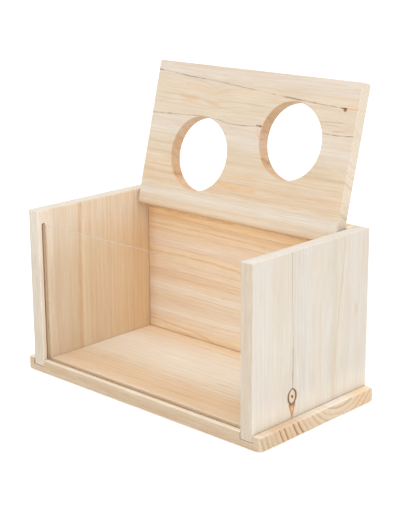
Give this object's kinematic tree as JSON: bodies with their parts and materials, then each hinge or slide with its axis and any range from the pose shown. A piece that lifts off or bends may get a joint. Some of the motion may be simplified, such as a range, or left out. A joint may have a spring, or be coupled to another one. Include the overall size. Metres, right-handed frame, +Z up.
{
  "type": "hamster box with hinged lid",
  "caption": "Small wooden hamster box on a wider base board, with a clear front pane and a hinged lid, open, that has round access openings.",
  "frame": {"origin": "middle of the base board's underside", "axes": "+X along the length, to the right as seen from the front; +Y to the back; +Z up. The pane is at the front, -Y"},
  "size_m": [0.22, 0.129, 0.2121],
  "materials": {
    "case_wood": "planed, unfinished",
    "lid_wood": "planed, unfinished",
    "pane": "clear, polished",
    "steel": "bright drawn wire",
    "dowel_wood": "turned, unfinished"
  },
  "bodies": {
    "box": {"base_board": "case_wood", "side_panel_left": "case_wood", "side_panel_right": "case_wood", "back_panel": "case_wood", "front_pane": "pane", "nail_left_1": "steel", "nail_left_2": "steel", "nail_left_3": "steel", "nail_right_1": "steel", "nail_right_2": "steel", "nail_right_3": "steel", "nail_back_1": "steel", "nail_back_2": "steel", "nail_back_3": "steel", "dowel_left_lower": "dowel_wood", "dowel_left_upper": "dowel_wood", "dowel_right_lower": "dowel_wood", "dowel_right_upper": "dowel_wood"},
    "lid_leaf": {"lid": "lid_wood", "pivot_pin_left": "steel", "pivot_pin_right": "steel"}
  },
  "joints": [
    {"name": "lid_hinge", "type": "hinge", "parent": "box", "child": "lid_leaf", "pos_m": [0, 0.0415, 0.1138], "axis": [1, 0, 0], "range_deg": [0, 104.47]}
  ]
}
